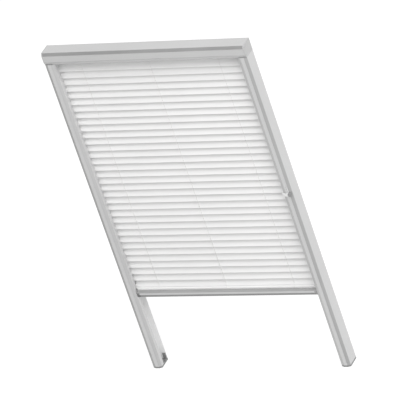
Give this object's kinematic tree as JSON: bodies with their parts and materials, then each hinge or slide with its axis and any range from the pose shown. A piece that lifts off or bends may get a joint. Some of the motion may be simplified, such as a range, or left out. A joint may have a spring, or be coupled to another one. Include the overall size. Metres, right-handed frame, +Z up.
{
  "type": "roof window venetian blind",
  "caption": "Venetian blind for a roof window: white crowned slats between aluminium side rails, under a headrail, with a sliding bottom bar and a tilt slider.",
  "frame": {"origin": "centre of the four fixing holes in the headrail's two brackets, on the back plane", "axes": "+X across the blind, to the right seen from the room; +Y towards the glass; +Z up the side rails"},
  "size_m": [0.612, 0.048, 1.043],
  "materials": {
    "white_lacquer": "satin white lacquer on aluminium strip",
    "anodised_aluminium": "natural matt anodised extrusion",
    "grey_plastic": "moulded, fine grain",
    "dark_plastic": "moulded, fine grain",
    "pale_plastic": "moulded, plain",
    "zinc_steel": "bright zinc plated",
    "white_cord": "braided polyester"
  },
  "bodies": {
    "root": {"headrail": "anodised_aluminium", "headrail_cap_left": "grey_plastic", "headrail_cap_right": "grey_plastic", "cap_screws": "zinc_steel", "bracket_left": "zinc_steel", "bracket_right": "zinc_steel", "drum_cradle_left": "pale_plastic", "drum_cradle_middle": "pale_plastic", "drum_cradle_right": "pale_plastic", "tilt_cord": "white_cord", "side_rail_left": "anodised_aluminium", "side_rail_right": "anodised_aluminium", "rail_foot_left": "dark_plastic", "rail_foot_right": "dark_plastic", "ladder_cords": "white_cord"},
    "shaft": {"tilt_shaft": "zinc_steel", "ladder_drum_left": "dark_plastic", "ladder_drum_middle": "dark_plastic", "ladder_drum_right": "dark_plastic", "tilt_pulley": "dark_plastic"},
    "idler": {"idler_pulley": "dark_plastic"},
    "slider": {"tilt_slider": "grey_plastic"},
    "bar": {"bottom_bar": "anodised_aluminium", "bar_guide_left": "dark_plastic", "bar_guide_right": "dark_plastic", "gathered_slats": "white_lacquer"},
    "slat_01": {"slat_01": "white_lacquer"},
    "slat_02": {"slat_02": "white_lacquer"},
    "slat_03": {"slat_03": "white_lacquer"},
    "slat_04": {"slat_04": "white_lacquer"},
    "slat_05": {"slat_05": "white_lacquer"},
    "slat_06": {"slat_06": "white_lacquer"},
    "slat_07": {"slat_07": "white_lacquer"},
    "slat_08": {"slat_08": "white_lacquer"},
    "slat_09": {"slat_09": "white_lacquer"},
    "slat_10": {"slat_10": "white_lacquer"},
    "slat_11": {"slat_11": "white_lacquer"},
    "slat_12": {"slat_12": "white_lacquer"},
    "slat_13": {"slat_13": "white_lacquer"},
    "slat_14": {"slat_14": "white_lacquer"},
    "slat_15": {"slat_15": "white_lacquer"},
    "slat_16": {"slat_16": "white_lacquer"},
    "slat_17": {"slat_17": "white_lacquer"},
    "slat_18": {"slat_18": "white_lacquer"},
    "slat_19": {"slat_19": "white_lacquer"},
    "slat_20": {"slat_20": "white_lacquer"},
    "slat_21": {"slat_21": "white_lacquer"},
    "slat_22": {"slat_22": "white_lacquer"},
    "slat_23": {"slat_23": "white_lacquer"},
    "slat_24": {"slat_24": "white_lacquer"},
    "slat_25": {"slat_25": "white_lacquer"},
    "slat_26": {"slat_26": "white_lacquer"},
    "slat_27": {"slat_27": "white_lacquer"},
    "slat_28": {"slat_28": "white_lacquer"},
    "slat_29": {"slat_29": "white_lacquer"},
    "slat_30": {"slat_30": "white_lacquer"},
    "slat_31": {"slat_31": "white_lacquer"},
    "slat_32": {"slat_32": "white_lacquer"},
    "slat_33": {"slat_33": "white_lacquer"},
    "slat_34": {"slat_34": "white_lacquer"}
  },
  "joints": [
    {"name": "bar_lift", "type": "slide", "parent": "root", "child": "bar", "axis": [0, 0, 1], "range_m": [0, 0.64], "deforming": ["ladder_cords"]},
    {"name": "tilt_turn", "type": "hinge", "parent": "root", "child": "shaft", "pos_m": [0, -0.0146, 0], "axis": [1, 0, 0], "range_deg": [-130, 20]},
    {"name": "slider_slide", "type": "slide", "parent": "root", "child": "slider", "axis": [0, 0, 1], "range_m": [-0.0035, 0.0208]},
    {"name": "idler_turn", "type": "hinge", "parent": "root", "child": "idler", "pos_m": [0.295, -0.0146, -1.0084], "axis": [1, 0, 0], "range_deg": [-131, 21]},
    {"name": "slat_01_rise", "type": "slide", "parent": "root", "child": "slat_01", "axis": [0, 0, 1], "range_m": [0, 0.01244]},
    {"name": "slat_02_rise", "type": "slide", "parent": "root", "child": "slat_02", "axis": [0, 0, 1], "range_m": [0, 0.03147]},
    {"name": "slat_03_rise", "type": "slide", "parent": "root", "child": "slat_03", "axis": [0, 0, 1], "range_m": [0, 0.05049]},
    {"name": "slat_04_rise", "type": "slide", "parent": "root", "child": "slat_04", "axis": [0, 0, 1], "range_m": [0, 0.06952]},
    {"name": "slat_05_rise", "type": "slide", "parent": "root", "child": "slat_05", "axis": [0, 0, 1], "range_m": [0, 0.08854]},
    {"name": "slat_06_rise", "type": "slide", "parent": "root", "child": "slat_06", "axis": [0, 0, 1], "range_m": [0, 0.10756]},
    {"name": "slat_07_rise", "type": "slide", "parent": "root", "child": "slat_07", "axis": [0, 0, 1], "range_m": [0, 0.12659]},
    {"name": "slat_08_rise", "type": "slide", "parent": "root", "child": "slat_08", "axis": [0, 0, 1], "range_m": [0, 0.14561]},
    {"name": "slat_09_rise", "type": "slide", "parent": "root", "child": "slat_09", "axis": [0, 0, 1], "range_m": [0, 0.16463]},
    {"name": "slat_10_rise", "type": "slide", "parent": "root", "child": "slat_10", "axis": [0, 0, 1], "range_m": [0, 0.18366]},
    {"name": "slat_11_rise", "type": "slide", "parent": "root", "child": "slat_11", "axis": [0, 0, 1], "range_m": [0, 0.20268]},
    {"name": "slat_12_rise", "type": "slide", "parent": "root", "child": "slat_12", "axis": [0, 0, 1], "range_m": [0, 0.2217]},
    {"name": "slat_13_rise", "type": "slide", "parent": "root", "child": "slat_13", "axis": [0, 0, 1], "range_m": [0, 0.24072]},
    {"name": "slat_14_rise", "type": "slide", "parent": "root", "child": "slat_14", "axis": [0, 0, 1], "range_m": [0, 0.25974]},
    {"name": "slat_15_rise", "type": "slide", "parent": "root", "child": "slat_15", "axis": [0, 0, 1], "range_m": [0, 0.27877]},
    {"name": "slat_16_rise", "type": "slide", "parent": "root", "child": "slat_16", "axis": [0, 0, 1], "range_m": [0, 0.29779]},
    {"name": "slat_17_rise", "type": "slide", "parent": "root", "child": "slat_17", "axis": [0, 0, 1], "range_m": [0, 0.31681]},
    {"name": "slat_18_rise", "type": "slide", "parent": "root", "child": "slat_18", "axis": [0, 0, 1], "range_m": [0, 0.33584]},
    {"name": "slat_19_rise", "type": "slide", "parent": "root", "child": "slat_19", "axis": [0, 0, 1], "range_m": [0, 0.35486]},
    {"name": "slat_20_rise", "type": "slide", "parent": "root", "child": "slat_20", "axis": [0, 0, 1], "range_m": [0, 0.37389]},
    {"name": "slat_21_rise", "type": "slide", "parent": "root", "child": "slat_21", "axis": [0, 0, 1], "range_m": [0, 0.39291]},
    {"name": "slat_22_rise", "type": "slide", "parent": "root", "child": "slat_22", "axis": [0, 0, 1], "range_m": [0, 0.41193]},
    {"name": "slat_23_rise", "type": "slide", "parent": "root", "child": "slat_23", "axis": [0, 0, 1], "range_m": [0, 0.43096]},
    {"name": "slat_24_rise", "type": "slide", "parent": "root", "child": "slat_24", "axis": [0, 0, 1], "range_m": [0, 0.44998]},
    {"name": "slat_25_rise", "type": "slide", "parent": "root", "child": "slat_25", "axis": [0, 0, 1], "range_m": [0, 0.469]},
    {"name": "slat_26_rise", "type": "slide", "parent": "root", "child": "slat_26", "axis": [0, 0, 1], "range_m": [0, 0.48803]},
    {"name": "slat_27_rise", "type": "slide", "parent": "root", "child": "slat_27", "axis": [0, 0, 1], "range_m": [0, 0.50705]},
    {"name": "slat_28_rise", "type": "slide", "parent": "root", "child": "slat_28", "axis": [0, 0, 1], "range_m": [0, 0.52607]},
    {"name": "slat_29_rise", "type": "slide", "parent": "root", "child": "slat_29", "axis": [0, 0, 1], "range_m": [0, 0.5451]},
    {"name": "slat_30_rise", "type": "slide", "parent": "root", "child": "slat_30", "axis": [0, 0, 1], "range_m": [0, 0.56412]},
    {"name": "slat_31_rise", "type": "slide", "parent": "root", "child": "slat_31", "axis": [0, 0, 1], "range_m": [0, 0.58314]},
    {"name": "slat_32_rise", "type": "slide", "parent": "root", "child": "slat_32", "axis": [0, 0, 1], "range_m": [0, 0.60216]},
    {"name": "slat_33_rise", "type": "slide", "parent": "root", "child": "slat_33", "axis": [0, 0, 1], "range_m": [0, 0.62118]},
    {"name": "slat_34_rise", "type": "slide", "parent": "root", "child": "slat_34", "axis": [0, 0, 1], "range_m": [0, 0.64021]}
  ],
  "couplings": [
    {"joint": "slider_slide", "follows": "tilt_turn", "m_per_rad": -0.009},
    {"joint": "idler_turn", "follows": "tilt_turn", "ratio": 1},
    {"joint": "slat_01_rise", "follows": "bar_lift", "ratio": 0.01866},
    {"joint": "slat_02_rise", "follows": "bar_lift", "ratio": 0.04839},
    {"joint": "slat_03_rise", "follows": "bar_lift", "ratio": 0.07811},
    {"joint": "slat_04_rise", "follows": "bar_lift", "ratio": 0.10784},
    {"joint": "slat_05_rise", "follows": "bar_lift", "ratio": 0.13756},
    {"joint": "slat_06_rise", "follows": "bar_lift", "ratio": 0.16728},
    {"joint": "slat_07_rise", "follows": "bar_lift", "ratio": 0.19701},
    {"joint": "slat_08_rise", "follows": "bar_lift", "ratio": 0.22673},
    {"joint": "slat_09_rise", "follows": "bar_lift", "ratio": 0.25645},
    {"joint": "slat_10_rise", "follows": "bar_lift", "ratio": 0.28618},
    {"joint": "slat_11_rise", "follows": "bar_lift", "ratio": 0.3159},
    {"joint": "slat_12_rise", "follows": "bar_lift", "ratio": 0.34563},
    {"joint": "slat_13_rise", "follows": "bar_lift", "ratio": 0.37535},
    {"joint": "slat_14_rise", "follows": "bar_lift", "ratio": 0.40507},
    {"joint": "slat_15_rise", "follows": "bar_lift", "ratio": 0.4348},
    {"joint": "slat_16_rise", "follows": "bar_lift", "ratio": 0.46452},
    {"joint": "slat_17_rise", "follows": "bar_lift", "ratio": 0.49424},
    {"joint": "slat_18_rise", "follows": "bar_lift", "ratio": 0.52397},
    {"joint": "slat_19_rise", "follows": "bar_lift", "ratio": 0.55369},
    {"joint": "slat_20_rise", "follows": "bar_lift", "ratio": 0.58342},
    {"joint": "slat_21_rise", "follows": "bar_lift", "ratio": 0.61314},
    {"joint": "slat_22_rise", "follows": "bar_lift", "ratio": 0.64286},
    {"joint": "slat_23_rise", "follows": "bar_lift", "ratio": 0.67259},
    {"joint": "slat_24_rise", "follows": "bar_lift", "ratio": 0.70231},
    {"joint": "slat_25_rise", "follows": "bar_lift", "ratio": 0.73203},
    {"joint": "slat_26_rise", "follows": "bar_lift", "ratio": 0.76176},
    {"joint": "slat_27_rise", "follows": "bar_lift", "ratio": 0.79148},
    {"joint": "slat_28_rise", "follows": "bar_lift", "ratio": 0.8212},
    {"joint": "slat_29_rise", "follows": "bar_lift", "ratio": 0.85093},
    {"joint": "slat_30_rise", "follows": "bar_lift", "ratio": 0.88065},
    {"joint": "slat_31_rise", "follows": "bar_lift", "ratio": 0.91038},
    {"joint": "slat_32_rise", "follows": "bar_lift", "ratio": 0.9401},
    {"joint": "slat_33_rise", "follows": "bar_lift", "ratio": 0.96982},
    {"joint": "slat_34_rise", "follows": "bar_lift", "ratio": 0.99955}
  ]
}
